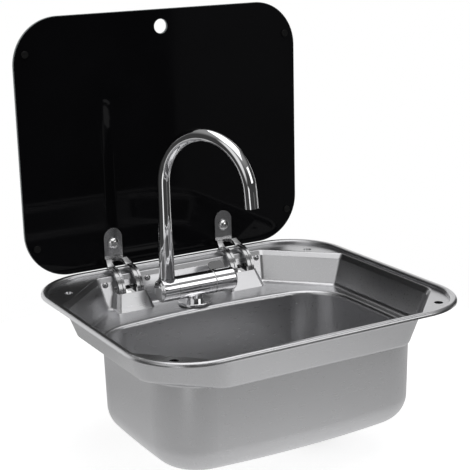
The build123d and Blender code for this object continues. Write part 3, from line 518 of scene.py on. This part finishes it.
# ---------------------------------------------------------------- glass lid
# A slab of black toughened glass with round corners, a finger hole near its top and two screw
# holes. Its edges are ground and polished to a small bevel that catches the light.
glass_corner = 0.059
corner_segments = 24
glass_bevel = 0.0006
bevel_segments = 2
bevel_angle = 60
finger_radius = 0.009
finger_drop = 0.0216
screw_hole_radius = 0.0045
hole_sides = 48
glass_smooth = 20
face_of_glass = 0.99
film_scale = 14
film_detail = 5
film_dark = (0.003, 0.003, 0.0035)
film_light = (0.006, 0.006, 0.007)
glass_roughness = (0.03, 0.07)
glass_gloss = 0.08
grind_scale = 700
grind_detail = 3
edge_dark = (0.12, 0.14, 0.14)
edge_light = (0.2, 0.22, 0.22)
edge_roughness = (0.12, 0.25)


def sharp_edges(shape, angle):
    """Edges where two faces turn by more than an angle, in degrees."""
    return [edge for edge in shape.edges if edge.calc_face_angle(0) > math.radians(angle)]


low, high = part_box("glass_lid")
slab = bmesh.new()
outline = bmesh.ops.create_grid(slab, x_segments=1, y_segments=1, size=0.5)["verts"]
bmesh.ops.scale(slab, vec=(high.x - low.x, high.z - low.z, 1), verts=outline)
bmesh.ops.bevel(
    slab, geom=slab.verts[:], offset=glass_corner, offset_type="OFFSET", segments=corner_segments,
    affect="VERTICES", profile=0.5, material=-1,
)
bmesh.ops.delete(slab, geom=slab.faces[:], context="FACES_ONLY")
glass_middle = (low.z + high.z) / 2
holes = [(0, high.z - finger_drop, finger_radius)]
for side in ("left", "right"):
    holes.append((middle("hinge_pin_" + side).x, middle("lid_washers").z, screw_hole_radius))
for hole_x, hole_z, radius in holes:
    spot = Matrix.Translation((hole_x, hole_z - glass_middle, 0))
    bmesh.ops.create_circle(slab, cap_ends=False, segments=hole_sides, radius=radius, matrix=spot)
bmesh.ops.triangle_fill(slab, use_beauty=True, use_dissolve=False, edges=slab.edges[:], normal=(0, 0, 1))
walls = bmesh.ops.extrude_face_region(slab, geom=slab.faces[:])["geom"]
lifted = [item for item in walls if isinstance(item, bmesh.types.BMVert)]
bmesh.ops.translate(slab, vec=(0, 0, high.y - low.y), verts=lifted)
upright = Matrix.Translation((0, high.y, glass_middle)) @ Matrix.Rotation(math.radians(90), 4, "X")
bmesh.ops.transform(slab, matrix=upright, verts=slab.verts)
bmesh.ops.recalc_face_normals(slab, faces=slab.faces)
bmesh.ops.bevel(
    slab, geom=sharp_edges(slab, bevel_angle), offset=glass_bevel, offset_type="OFFSET",
    segments=bevel_segments, affect="EDGES", profile=0.5, material=-1,
)

black_glass, tree, shader = new_material("black_glass", 0)
film = pattern(tree, even, film_scale, film_detail)
tree.links.new(tint(tree, film, film_dark, film_light), shader.inputs["Base Color"])
tree.links.new(spread(tree, film, *glass_roughness), shader.inputs["Roughness"])
shader.inputs["Specular IOR Level"].default_value = glass_gloss
polished_edge, tree, shader = new_material("polished_glass_edge", 0)
grind = pattern(tree, even, grind_scale, grind_detail)
tree.links.new(tint(tree, grind, edge_dark, edge_light), shader.inputs["Base Color"])
tree.links.new(spread(tree, grind, *edge_roughness), shader.inputs["Roughness"])
glass = add_piece("lid_glass", slab, black_glass, "lid", glass_smooth)
glass.data.materials.append(polished_edge)
for face in glass.data.polygons:
    if abs(face.normal.y) < face_of_glass:
        face.material_index = 1
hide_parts("glass_lid")

# ---------------------------------------------------------------- lid screws
# Stainless pan-head screws with a cross recess and a plain washer hold each tongue to the glass,
# and a round nut closes them on the glass's outer face.
head_radius = 0.0066
head_height = 0.004
head_rim = 0.0008
head_sides = 48
crown_steps = 10
head_smooth = 40
recess_length = 0.0034
recess_width = 0.0011
recess_depth = 0.0019
recess_turns = (45, 135)
one_point = 0.000001


def turned(shape, outline, place, axis, steps):
    """Spin an outline of (along, radius) points into a closed body about an axis."""
    others = set(shape.verts)
    points = [shape.verts.new((radius, 0, along)) for along, radius in outline]
    edges = [shape.edges.new(pair) for pair in zip(points, points[1:])]
    bmesh.ops.spin(
        shape, geom=points + edges, cent=(0, 0, 0), axis=(0, 0, 1), dvec=(0, 0, 0),
        angle=math.tau, steps=steps, use_merge=True, use_duplicate=False,
    )
    body = [vert for vert in shape.verts if vert not in others]
    turn = Vector(axis).to_track_quat("Z", "Y").to_matrix().to_4x4()
    bmesh.ops.transform(shape, matrix=Matrix.Translation(place) @ turn, verts=body)
    bmesh.ops.remove_doubles(shape, verts=body, dist=one_point)


def crown_points(height, radius, rim, steps):
    """Points of a domed head's outline, from its rim to the middle of its top."""
    crown = height - rim
    dome = (radius**2 + crown**2) / (2 * crown)
    sweep = math.asin(radius / dome)
    angles = [sweep * (1 - step / steps) for step in range(steps + 1)]
    return [(height - dome + dome * math.cos(angle), dome * math.sin(angle)) for angle in angles]


def cut_with(piece, tool):
    """Cut one bmesh's shape out of a piece and keep the result as its mesh."""
    bmesh.ops.recalc_face_normals(tool, faces=tool.faces)
    tool_mesh = bpy.data.meshes.new("tool")
    tool.to_mesh(tool_mesh)
    tool.free()
    tool_object = bpy.data.objects.new("tool", tool_mesh)
    scene.collection.objects.link(tool_object)
    cut = piece.modifiers.new("cut", "BOOLEAN")
    cut.operation = "DIFFERENCE"
    cut.solver = "EXACT"
    cut.use_self = True
    cut.object = tool_object
    view = bpy.context.evaluated_depsgraph_get()
    made = bpy.data.meshes.new_from_object(piece.evaluated_get(view))
    piece.modifiers.clear()
    piece.data = made
    bpy.data.objects.remove(tool_object)


washer_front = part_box("lid_washers")[0].y
heads = bmesh.new()
cutter = bmesh.new()
head_outline = [(0, 0), (0, head_radius)]
head_outline += crown_points(head_height, head_radius, head_rim, crown_steps)
for side in ("left", "right"):
    seat = Vector((middle("hinge_pin_" + side).x, washer_front, middle("lid_washers").z))
    turned(heads, head_outline, seat, (0, -1, 0), head_sides)
    top = Matrix.Translation(seat + Vector((0, -head_height, 0)))
    for recess_turn in recess_turns:
        bar = bmesh.ops.create_cube(cutter, size=1)["verts"]
        bmesh.ops.scale(cutter, vec=(2 * recess_length, 2 * recess_depth, recess_width), verts=bar)
        turn = Matrix.Rotation(math.radians(recess_turn), 4, "Y")
        bmesh.ops.transform(cutter, matrix=top @ turn, verts=bar)
bolt_heads = add_piece("bolt_heads", heads, bright_steel, "lid", head_smooth)
cut_with(bolt_heads, cutter)
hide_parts("lid_bolts")
dress(bright_steel, "lid_bolts", "lid_washers", "lid_cap_nuts")

# ---------------------------------------------------------------- the tap's fixings
# A polished flange hides the gasket on the ledge. Under the ledge a brass shank, a plated washer
# and a brass nut clamp the tap, and its valve is a brass cartridge.
chrome_grey = (0.8, 0.8, 0.81)
chrome_roughness = (0.02, 0.05)
brass_yellow = (0.62, 0.45, 0.2)
brass_roughness = (0.2, 0.38)
mirror_chrome = dressed_metal(
    "mirror_chrome", chrome_grey, chrome_roughness, even, depth=0.0000005, cloud=0.02
)
brass = dressed_metal("brass", brass_yellow, brass_roughness, even, depth=0.000006, cloud=0.1)
dress(brass, "tap_shank", "tap_backnut", "tap_cartridge")
dress(plated_steel, "tap_back_washer")
dress(mirror_chrome, "tap_flange")

# ---------------------------------------------------------------- the tap's barrel
# A turned brass barrel in bright chrome: a fixed middle on its foot, a thin proud ring in satin
# chrome, the turning handle on the right and the sleeve that carries the spout on the left.
barrel_edge = 0.00035
ring_edge = 0.0004
ring_grey = (0.9, 0.9, 0.9)
ring_roughness = (0.3, 0.4)
satin_chrome = dressed_metal("satin_chrome", ring_grey, ring_roughness, even, depth=0.000001, cloud=0.02)
dress(mirror_chrome, "tap_body", "tap_handle", "spout_sleeve", "barrel_end_cap")
dress(satin_chrome, "tap_ring")
soft_edged("barrel_middle", "tap_body", mirror_chrome, "root", barrel_edge)
soft_edged("barrel_ring", "tap_ring", satin_chrome, "root", ring_edge)
soft_edged("barrel_sleeve", "spout_sleeve", mirror_chrome, "spout_base", barrel_edge)
soft_edged("barrel_cap", "barrel_end_cap", mirror_chrome, "spout_base", barrel_edge)

# ---------------------------------------------------------------- the lever
# A chromed blade let into the back of the turning handle, with one large round corner and softly
# rounded edges.
lever_edge = 0.0007
dress(mirror_chrome, "handle_lever")
soft_edged("lever_blade", "handle_lever", mirror_chrome, "handle", lever_edge)

# ---------------------------------------------------------------- the spout
# A drawn tube, tapered at its foot and bent into a swan neck, polished and chromed. It stands in
# the barrel's sleeve.
dress(mirror_chrome, "spout_tube")

# ---------------------------------------------------------------- the waste
# A polished steel strainer flange in the bowl's floor, drawn down by a black moulded nut, with a
# moulded tail for a hose under it.
plastic_dark = (0.02, 0.02, 0.021)
plastic_light = (0.04, 0.04, 0.042)
plastic_roughness = (0.35, 0.55)
black_plastic = moulded(
    "black_plastic", plastic_dark, plastic_light, plastic_roughness, skin_scale=1200, depth=0.00002
)
dress(bright_steel, "waste_flange")
dress(black_plastic, "waste_nut", "waste_spigot")
